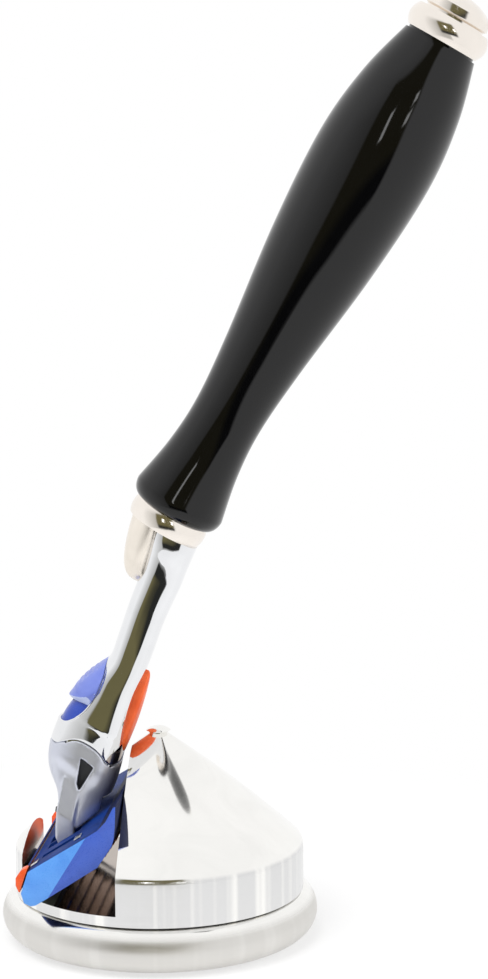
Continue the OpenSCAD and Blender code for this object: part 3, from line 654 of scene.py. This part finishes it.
# oval recess in the head's back, drawn in side view, and the sliding button in it
button = {"recess": [(2.3, -23.6), (3.05, -24.7), (3.77, -26.6), (4.11, -28.5), (4.27, -30.2), (4.25, -31.9),
                     (4.0, -33.5), (3.45, -35), (2.7, -36.3), (1.6, -37.5), (-0.4, -38.4)],
          "top": -21, "bottom": -44, "rim": 0.3, "rimSink": 0.85, "rimSteps": 160, "rimSides": 12,
          "crown": [(-20, 0), (-24.2, 0), (-26, -0.45), (-28.5, -0.95), (-31, -1.0), (-34, -0.7),
                    (-50, -0.5)],
          "inner": 0.3, "bedDepth": 0.5, "slide": 0.12, "snug": 0.02, "travel": 2.2,
          "endLevel": 0.12, "endHalf": 6.1, "endDrop": 4.65, "highlightFrom": 0.86, "highlightX": 4,
          "legHalf": 1.8, "legLow": -2.2, "legHigh": -0.2, "legRoot": 0.3, "legReach": 8.5, "slotOut": -4,
          "ribPitch": 1.15, "ribDepth": 0.11, "ribHalf": 3.6, "ribLow": -2.4, "ribHigh": 2.9,
          "grain": 0.11, "rounds": 4}


def recessPrism(b, gap):
    edge = [(x - gap, z) for x, z in smoothCurve(b["recess"], 10)]
    return prism(edge + [(-far, edge[-1][1]), (-far, edge[0][1])])


def rimPath(b):
    side = []
    for x, z in smoothCurve(b["recess"], 40):
        reach = skinHalf(z, x)
        if reach > 0:
            side.append(Vector((x, -reach, z)))
    loop = side + [Vector((p.x, -p.y, p.z)) for p in reversed(side)] + side[:1]
    return [loop[k].lerp(loop[k + 1], t) for k, t in evenSteps(loop, b["rimSteps"])]


def rimTube(b, tree):
    path, rings = rimPath(b), []
    for i, spot in enumerate(path):
        place, normal, _, _ = tree.find_nearest(spot)
        along = (path[(i + 1) % len(path)] - path[i - 1]).normalized()
        across = along.cross(normal).normalized()
        turns = [2 * math.pi * t for t in shares(b["rimSides"])[:-1]]
        rings.append([place + b["rim"] * (math.cos(a) * across + (math.sin(a) - b["rimSink"]) * normal)
                      for a in turns])
    return lofted(rings, closed=True)


def neckPoint(level, turn, inset=0.0):
    spot = skinPoint(level, turn, inset)
    spot.y *= between(slimRows, level)[1]  # cheeks draw in above the seam
    return spot


def makeNeck(h, b):
    edge = [(turn, seamLevel(turn)) for turn in headTurns]
    start, lip = h["straightTo"], h["lip"]
    rings = [[neckPoint(start * t, turn) for turn in headTurns] for t in shares(int(-start / h["ringStep"]))]
    for t in shares(h["lowRings"])[1:]:  # down to the wavy seam
        rings.append([neckPoint(start + (z + lip - start) * t, turn) for turn, z in edge])
    for t in shares(6)[1:]:  # rounded lower lip
        rise, inset = lip * (1 - math.sin(math.pi / 2 * t)), lip * (1 - math.cos(math.pi / 2 * t))
        rings.append([neckPoint(z + rise, turn, inset) for turn, z in edge])
    rings.append([neckPoint(z, turn, h["turnIn"]) for turn, z in edge])
    bm = lofted(rings)
    rim = rimTube(b, BVHTree.FromBMesh(bm))
    bm = carved(bm, [("DIFFERENCE", recessPrism(b, 0))])
    nose = block((h["noseBack"], -h["noseHalf"], -h["noseLen"]),
                 (h["noseFront"], h["noseHalf"], h["noseRoot"]), dockInRazor)
    softened(nose, h["noseEdge"])
    joined(bm, rim, nose, rod(h["tangR"], 0, h["tangLen"]))
    piece(bm, "chromeNeck", inRazor, "handle", "neck", sharp=32)


def makeButton(b):
    low = b["endLevel"]
    turns = [math.pi * (1 + t) for t in shares(64)]
    above = [(b["endHalf"] * math.cos(a), low + b["endDrop"] * math.sin(a)) for a in turns]
    above += [(far, low), (far, far), (-far, far), (-far, low)]
    facing = buttonInRazor @ Matrix.Rotation(math.pi / 2, 4, "Z")
    leg = block((b["legRoot"], -b["legHalf"], b["legLow"]), (b["legReach"], b["legHalf"], b["legHigh"]),
                buttonInRazor)
    bm = carved(skinSolid(0, b["top"], b["bottom"], smoothCurve(b["crown"], 6)),
                [("INTERSECT", recessPrism(b, b["slide"])), ("INTERSECT", prism(above, place=facing)),
                 ("DIFFERENCE", skinSolid(b["inner"], b["top"] + 1, b["bottom"] - 1)), ("UNION", leg)])
    bm = remoulded(bm, b["grain"], b["rounds"])
    bm.transform(buttonInRazor.inverted())
    bm.normal_update()
    for v in bm.verts:  # grip ribs across the thumb's way
        side, level = abs(v.co.y) / b["ribHalf"], v.co.z
        if v.normal.x < -0.5 and side < 1 and b["ribLow"] < level < b["ribHigh"]:
            wave = 0.5 - 0.5 * math.cos(2 * math.pi * (level - b["ribLow"]) / b["ribPitch"])
            v.co.x += b["ribDepth"] * wave * (1 - side ** 6)
    bm.normal_update()
    for face in bm.faces:  # painted highlight: pale colour on the step at the round lower end
        c = face.calc_center_median()
        reach = (c.y / b["endHalf"]) ** 2 + ((c.z - low) / b["endDrop"]) ** 2
        paintedHighlight = c.x < b["highlightX"] and reach > b["highlightFrom"] and face.normal.z < -0.4
        face.material_index = 1 if paintedHighlight else 0
    piece(bm, "releaseButton", inButton, "button", "release_button", sharp=60, more=["button_edge"])


# coil springs: one wire, spun upwards
wire = {"radius": 0.22, "sides": 10, "stepsPerTurn": 28}
springs = [{"node": "button_spring", "name": "buttonSpring", "place": inButton, "spot": (3.9, 0, -6.1),
            "radius": 1.2, "height": 3.9, "turns": 3.5, "joint": "button_push", "anchor": 0.0, "keep": 0.436},
           {"node": "plunger_spring", "name": "plungerSpring", "place": inDock, "spot": (-1.9, 0, -12.6),
            "radius": 1.35, "height": 6.6, "turns": 7, "joint": "plunger_slide", "anchor": 6.6,
            "keep": 0.775}]


def makeBed(b):
    gap, half = b["slide"], b["legHalf"] + b["slide"]
    slot = block((b["slotOut"], -half, b["legLow"] - b["travel"] - gap), (far, half, b["legHigh"] + gap),
                 buttonInRazor)
    coil = springs[0]["radius"] + wire["radius"] + gap
    x, _, z = springs[0]["spot"]
    pocket = block((x - coil, -coil, z), (far, coil, b["legLow"]), buttonInRazor)
    bm = carved(skinSolid(b["bedDepth"], b["top"], b["bottom"]),
                [("INTERSECT", recessPrism(b, b["snug"])), ("DIFFERENCE", slot), ("DIFFERENCE", pocket)])
    piece(bm, "buttonBed", inRazor, "handle", "button_bed")


# drop-shaped rubber pad on the neck's front: half width and level
gripPad = {"drop": [(0, 7.2), (1.5, 5.2), (2.3, 3.2), (2.8, 0.5), (3.2, -2), (3.5, -4.5), (3.3, -6.3),
                    (2.1, -7.7), (0, -8.2)],
           "middle": -2.0, "deep": 1.6, "crown": 1.33, "crossR": 9.0, "alongR": 60.0, "crownZ": -2.5,
           "edge": 0.5}


def makePad(p):
    right = smoothCurve(p["drop"], 8)
    outline = right + [(-y, z) for y, z in reversed(right[1:-1])]

    def spot(y, z, share, sink):
        y, z = y * share, p["middle"] + (z - p["middle"]) * share
        across = p["crown"] - p["crossR"] + math.sqrt(p["crossR"] ** 2 - y * y)
        along = p["crown"] - p["alongR"] + math.sqrt(p["alongR"] ** 2 - (z - p["crownZ"]) ** 2)
        return Vector((across + along - p["crown"] - sink, y, z))

    edge = p["edge"]
    edgeShare = edge / max(y for y, z in right)
    rings = [[Vector((-p["deep"], y, z)) for y, z in outline]]
    for t in shares(8):
        inward, sink = 1 - math.cos(math.pi / 2 * t), edge * (1 - math.sin(math.pi / 2 * t))
        rings.append([spot(y, z, 1 - edgeShare * inward, sink) for y, z in outline])
    for t in shares(24)[1:-1]:
        rings.append([spot(y, z, (1 - edgeShare) * (1 - t), 0) for y, z in outline])
    piece(lofted(rings), "gripPad", inPad, "handle", "grip_pad", sharp=60)


# connector between head and cartridge, with an arm and a window on each side, dark inside as painted shade
yoke = {"top": -33, "bottom": -51, "armOut": 10.2, "armThick": 2.4, "armEnd": 1.7, "betweenArms": 5.6,
        "floor": 1.4, "cartBack": -1.55, "backGap": 0.35, "slide": 0.12, "plungerX": -1.9,
        "plungerRoom": 2.1, "noseRoom": 8,
        "arm": [(6.4, -44.2), (6.7, -45.8), (7.3, -47.4), (8.2, -49.8), (9.4, -52.4), (10.4, -54.2),
                (12.6, -55.79), (13.2, -54.2), (13.4, -53), (11.6, -49.9), (10.4, -46.6), (9.7, -45.1),
                (8.4, -43)],
        "shoulderOut": 7.5, "shoulderTop": -44, "shoulderSlope": 24,
        "window": [(7.3, -40.8), (10.1, -41.2), (9.9, -45.6), (9.0, -44.8)], "windowFloor": 6.1,
        "windowEdge": 0.35,
        "slim": [(-33, 0.94), (-38.4, 0.94), (-40, 0.95), (-42, 0.975), (-44, 1), (-51, 1)],
        "grain": 0.16, "rounds": 9}


def insideOutline(outline, x, z):
    hit = False
    for (ax, az), (bx, bz) in zip(outline, outline[1:] + outline[:1]):
        if (az > z) != (bz > z) and x < ax + (z - az) * (bx - ax) / (bz - az):
            hit = not hit
    return hit


def makeYoke(y, h):
    tilt = math.radians(-places["dock"][1])
    gap = Vector((math.sin(tilt), -math.cos(tilt))) * h["seamGap"]
    under = [(x + gap.x, z + gap.y) for x, z in seamRows]
    under += [(seamRows[-1][0], -far), (seamRows[0][0], -far)]
    back, half = y["cartBack"] - y["backGap"], y["betweenArms"]
    dockFloor = -h["noseLen"] - y["floor"]
    steps = [("INTERSECT", prism(under)),
             ("DIFFERENCE", block((back, -far, -far), (far, far, far), cartridgeInRazor)),
             ("DIFFERENCE", block((-far, -half, -far), (far, half, dockFloor), dockInRazor))]
    knuckle = cartridgeInRazor @ Matrix.Rotation(math.pi / 2, 4, "X")
    slope = math.radians(y["shoulderSlope"])  # the arms grow out of the skin
    for side in (-1, 1):
        low, high = sorted((side * (y["armOut"] - y["armThick"]), side * y["armOut"]))
        arm = trimmed(prism(y["arm"], low, high), (0, side * y["shoulderOut"], y["shoulderTop"]),
                      (0, side * math.cos(slope), math.sin(slope)))
        steps += [("UNION", arm), ("UNION", rod(y["armEnd"], -high, -low, knuckle))]
        low, high = sorted((side * y["windowFloor"], side * far))
        steps.append(("DIFFERENCE", prism(y["window"], low, high)))
    slide, half = y["slide"], h["noseHalf"] + y["slide"]
    nose = block((h["noseBack"] - slide, -half, -h["noseLen"] - slide),
                 (h["noseFront"] + slide, half, y["noseRoom"]), dockInRazor)
    bore = rod(y["plungerRoom"], -far, 0, dockInRazor @ Matrix.Translation((y["plungerX"], 0, 0)))
    steps += [("DIFFERENCE", nose), ("DIFFERENCE", bore)]
    skin = skinSolid(0, y["top"], y["bottom"])
    for v in skin.verts:  # shoulders meet the neck's cheeks
        v.co.y *= between(y["slim"], v.co.z)[1]
    bm = remoulded(carved(skin, steps), y["grain"], y["rounds"])
    for face in bm.faces:  # painted shade: the windows' inner faces take the dark plastic
        c = face.calc_center_median()
        deep = abs(c.y) < between(headRows, c.z)[3] - y["windowEdge"]
        face.material_index = 1 if deep and insideOutline(y["window"], c.x, c.z) else 0
    piece(bm, "greyYoke", inRazor, "yoke", "yoke", sharp=60, more=["dark_plastic"])


makeShroud(shroud)
makeNeck(head, button)
makeButton(button)
makeBed(button)
makePad(gripPad)
makeYoke(yoke, head)
print("head made")


# cartridge, in the frame of its pivot: x across the blade face, z along it
cartridge = {"end": 21.0, "creaseTop": (-1.55, 6.2), "creaseFoot": (4.12, -5.37), "litFacetFall": 7.0,
             "shadedFacetFall": 11.0, "edge": 0.14, "endDeep": 2.5, "wall": 1, "face": 3.9, "skin": 0.2,
             "tailZ": 8.6, "capFrom": 18.6, "blades": 5, "bladeEdge": 3.8, "bladeFirst": -3.0,
             "bladePitch": 1.7, "bladeTilt": 24, "ground": 0.12}


def makeFrame(c):
    bm = fromNode("cartridge_frame", inCartridge)
    top, foot = Vector(c["creaseTop"]), Vector(c["creaseFoot"])
    run = (foot - top).normalized()
    way = Vector((-run.y, run.x))  # across the crease, towards the guard
    if way.y < 0:
        way = -way
    ends = [f for f in bm.faces if abs(abs(f.calc_center_median().y) - c["end"]) < near]
    geom = list({g for f in ends for g in (f, *f.edges, *f.verts)})
    bmesh.ops.bisect_plane(bm, geom=geom, dist=1e-4, plane_co=(top.x, 0, top.y), plane_no=(way.x, 0, way.y))

    def across(co):
        return (Vector((co.x, co.z)) - top).dot(way)

    for v in bm.verts:  # two facets that meet at the crease
        if abs(abs(v.co.y) - c["end"]) < near:
            away = across(v.co)
            fall = c["shadedFacetFall"] if away > 0 else c["litFacetFall"]
            v.co.y = math.copysign(c["end"] - abs(away) * math.tan(math.radians(fall)), v.co.y)
    bmesh.ops.triangulate(bm, faces=[f for f in bm.faces if len(f.verts) > 4])  # the bevel folds wide faces
    softened(bm, c["edge"], 2, 8)
    bmesh.ops.bisect_plane(bm, geom=allOf(bm), dist=1e-4, plane_co=(0, 0, c["tailZ"]), plane_no=(0, 0, 1))
    bm.normal_update()
    for face in bm.faces:
        spot, n = face.calc_center_median(), face.normal
        onEnd = abs(n.y) > 0.7 and abs(spot.y) > c["end"] - c["endDeep"]
        onFace = spot.x > c["face"] - c["skin"]
        # painted shade: of the two end facets, the one beyond the crease takes the deeper blue, the other the
        # frame's light blue
        if onEnd:
            face.material_index = 1 if across(spot) > 0 else 0
        elif spot.z > c["tailZ"] or (n.x > 0.4 and onFace):
            face.material_index = 3  # painted shade: tail and blade side are dark navy
        # painted shade: the back and the inner walls take the darker blue
        elif n.x < -0.4 or (abs(spot.y) < c["end"] - c["wall"] and spot.x < c["face"] - c["skin"]):
            face.material_index = 2
        else:
            face.material_index = 0
    piece(bm, "cartridgeFrame", inCartridge, "cartridge", "cartridge_frame", sharp=30,
          more=["frame_deep", "frame_inside", "frame_shade"])


def makeBlades(c):
    for i in range(c["blades"]):
        spot = (c["bladeEdge"], 0, c["bladeFirst"] + i * c["bladePitch"])
        place = inCartridge @ turned(spot, 180 + c["bladeTilt"])
        bm = fromNode("blade_%d" % (i + 1), place)
        for v in bm.verts:  # ground to an edge
            if v.co.z < 0.01:
                v.co.x *= c["ground"]
        piece(bm, "blade%d" % (i + 1), place, "cartridge", "blade_%d" % (i + 1), sharp=20)


# node, name and edge radius
smallParts = [("trimmer_guard", "trimmerGuard", 0.22), ("guard_strip", "guardStrip", 0.08),
              ("lube_strip", "lubeStrip", 0.1), ("clip_near", "clipNear", 0.06),
              ("clip_far", "clipFar", 0.06), ("ejector", "ejectorBar", 0.15)]


def makeSmallParts(rows, c):
    for nodeName, name, width in rows:
        place, body = (inDock, "ejector") if nodeName == "ejector" else (inCartridge, "cartridge")
        bm = fromNode(nodeName, place)
        softened(bm, width, 3)
        more = []
        if nodeName == "trimmer_guard":
            more = ["frame_inside"]
            bm.normal_update()
            for face in bm.faces:  # its upper side lies in the frame and takes the darker blue of painted shade
                up = (place.to_3x3() @ face.normal).z
                face.material_index = 1 if abs(face.calc_center_median().y) < c["capFrom"] and up > 0.6 else 0
        piece(bm, name, place, body, nodeName, sharp=50, more=more)


def makeSpring(s, w):
    bm = bmesh.new()
    start = Matrix.Translation((s["radius"], 0, w["radius"])) @ Matrix.Rotation(math.pi / 2, 4, "X")
    bmesh.ops.create_circle(bm, segments=w["sides"], radius=w["radius"], matrix=start)
    first = bm.edges[:]
    steps = int(s["turns"] * w["stepsPerTurn"])
    rise = (s["height"] - 2 * w["radius"]) / steps
    spin = bmesh.ops.spin(bm, geom=bm.verts[:] + first, axis=(0, 0, 1), cent=(0, 0, 0), dvec=(0, 0, rise),
                          angle=2 * math.pi * s["turns"], steps=steps)
    for end in (first, [g for g in spin["geom_last"] if isinstance(g, bmesh.types.BMEdge)]):
        bmesh.ops.contextual_create(bm, geom=end)
    bmesh.ops.recalc_face_normals(bm, faces=bm.faces)
    place = s["place"] @ Matrix.Translation(s["spot"])
    obj = piece(bm, s["name"], place, "handle", s["node"], sharp=70)
    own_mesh(obj)


makeFrame(cartridge)
makeBlades(cartridge)
makeSmallParts(smallParts, cartridge)
for spring in springs:
    makeSpring(spring, wire)
print("cartridge made")


# camera, light and floor
view = {"spot": (53.3, -435.9, 142.6), "turn": 5, "tilt": -8.4, "roll": -0.4, "focal": 2600, "frameTall": 979,
        "sensor": 36}
lamps = [{"name": "topSoftbox", "spot": (-0.25, -0.35, 0.75), "aim": (0, 0, 0.05), "size": 0.7, "power": 6},
         {"name": "sideSoftbox", "spot": (0.7, -0.2, 0.45), "aim": (0, 0, 0.07), "size": 0.5, "power": 3}]


def makeCamera(v):
    data = bpy.data.cameras.new("photoCamera")
    data.sensor_width = v["sensor"]
    data.lens = v["sensor"] * v["focal"] / v["frameTall"]
    data.clip_start = 0.01
    data.clip_end = 20
    camera = bpy.data.objects.new("photoCamera", data)
    camera.matrix_world = Matrix.Translation(Vector(v["spot"]) * mm)
    for degrees, axis in ((v["turn"], "Z"), (90 + v["tilt"], "X"), (v["roll"], "Z")):
        camera.matrix_world = camera.matrix_world @ Matrix.Rotation(math.radians(degrees), 4, axis)
    scene.collection.objects.link(camera)
    scene.camera = camera


def makeLamp(s):
    data = bpy.data.lights.new(s["name"], "AREA")
    data.size = s["size"]
    data.energy = s["power"]
    lamp = bpy.data.objects.new(s["name"], data)
    lamp.location = s["spot"]
    lamp.rotation_euler = (Vector(s["aim"]) - Vector(s["spot"])).to_track_quat("-Z", "Y").to_euler()
    lamp.visible_glossy = False  # the room gives the reflections
    scene.collection.objects.link(lamp)


# small white sheet under the stand: fades into the white room, so no horizon shows
floorSheet = {"radius": 0.15, "near": 0.04, "far": 0.12, "nearShare": 0.6, "colour": "#F4F4F4", "rough": 0.9}


def makeFloor(f):
    bm = bmesh.new()
    bmesh.ops.create_circle(bm, cap_ends=True, segments=128, radius=f["radius"])
    floor = solidObject(bm, "floor")
    material, tree, where = newMaterial("paleFloor")
    shader = tree.nodes["Principled BSDF"]
    shader.inputs["Base Color"].default_value = colour(f["colour"])
    shader.inputs["Roughness"].default_value = f["rough"]
    shader.inputs["Specular IOR Level"].default_value = 0
    path = addNode(tree, "LightPath").node.outputs
    seen = path["Is Camera Ray"]
    for kind in ("Is Glossy Ray", "Is Transmission Ray"):
        seen = addNode(tree, "Math", {"operation": "MAXIMUM"}, links={0: seen, 1: path[kind]})
    away = addNode(tree, "VectorMath", {"operation": "LENGTH"}, links={0: where}, out="Value")
    white = addNode(tree, "MapRange", values=spread(f["nearShare"], 1, f["near"], f["far"]),
                    links={"Value": away})
    share = addNode(tree, "Math", multiply, links={0: seen, 1: white})
    glow = addNode(tree, "Emission", values={"Color": (1, 1, 1, 1), "Strength": 1.0})
    mix = addNode(tree, "MixShader", links={0: share, 1: shader.outputs[0], 2: glow})
    tree.links.new(mix, tree.nodes["Material Output"].inputs["Surface"])
    floor.data.materials.append(material)


# a white room with one dark opening in front, which only polished surfaces see; angles in degrees
opening = {"half": 29, "soft": 4, "low": -25, "high": 40, "lowColour": "#2A2B29", "highColour": "#6E6848",
           "turnsAt": (-13, -5), "leftGrey": "#C2C2C0", "leftTo": 75, "leftHigh": (30, 50), "fill": 0.55,
           "panes": [(-6, -1.5, 8, 21), (20, 25, 3, 8), (20, 25, 9.5, 15)], "paneSoft": 1, "paneGlow": 4.5}


def makeWorld(o):
    world = bpy.data.worlds.new("studio")
    scene.world = world
    world.use_nodes = True
    tree = world.node_tree
    way = addNode(tree, "TexCoord", out="Generated")
    x, y, z = addNode(tree, "SeparateXYZ", links={"Vector": way}).node.outputs
    rise = addNode(tree, "Math", {"operation": "ARCSINE"}, links={0: z})
    ahead = addNode(tree, "Math", multiply, {1: -1}, {0: y})
    turn = addNode(tree, "Math", {"operation": "ARCTAN2"}, links={0: x, 1: ahead})

    def patch(*edges):  # share of the room inside soft edges: which angle, where it is full, where it ends
        total = None
        for angle, full, none in edges:
            share = addNode(tree, "MapRange", values=spread(1, 0, math.radians(full), math.radians(none)),
                            links={"Value": angle})
            if total:
                share = addNode(tree, "Math", multiply, links={0: total, 1: share})
            total = share
        return total

    def window(left, right, low, high, soft):
        return patch((turn, left + soft, left), (turn, right - soft, right), (rise, low + soft, low),
                     (rise, high - soft, high))

    dark = addNode(tree, "Mix", blend, {6: colour(o["highColour"]), 7: colour(o["lowColour"])},
                   {0: patch((rise, *o["turnsAt"]))}, 2)
    for pane in o["panes"]:  # small bright window panes in the dark
        dark = addNode(tree, "Mix", blend, {7: (o["paneGlow"],) * 3 + (1,)},
                       {0: window(*pane, o["paneSoft"]), 6: dark}, 2)
    grey = patch((turn, -o["half"], -o["leftTo"]), (turn, 0, 1), (rise, *o["leftHigh"]))
    wall = addNode(tree, "Mix", blend, {6: (1, 1, 1, 1), 7: colour(o["leftGrey"])}, {0: grey}, 2)
    shade = window(-o["half"], o["half"], o["low"], o["high"], o["soft"])
    tint = addNode(tree, "Mix", blend, links={0: shade, 6: wall, 7: dark}, out=2)
    path = addNode(tree, "LightPath").node.outputs
    room = addNode(tree, "Background", values={"Strength": 1.0}, links={"Color": tint})
    fill = addNode(tree, "Background", values={"Color": (1, 1, 1, 1), "Strength": o["fill"]})
    white = addNode(tree, "Background", values={"Color": (1, 1, 1, 1), "Strength": 1.0})
    lit = addNode(tree, "MixShader", links={0: path["Is Glossy Ray"], 1: fill, 2: room})
    clear = addNode(tree, "Math", {"operation": "MAXIMUM"},
                    links={0: path["Is Camera Ray"], 1: path["Is Transmission Ray"]})
    last = addNode(tree, "MixShader", links={0: clear, 1: lit, 2: white})
    tree.links.new(last, tree.nodes["World Output"].inputs["Surface"])


makeCamera(view)
for lamp in lamps:
    makeLamp(lamp)
makeFloor(floorSheet)
makeWorld(opening)
scene.view_settings.view_transform = "Standard"
print("camera and light made")
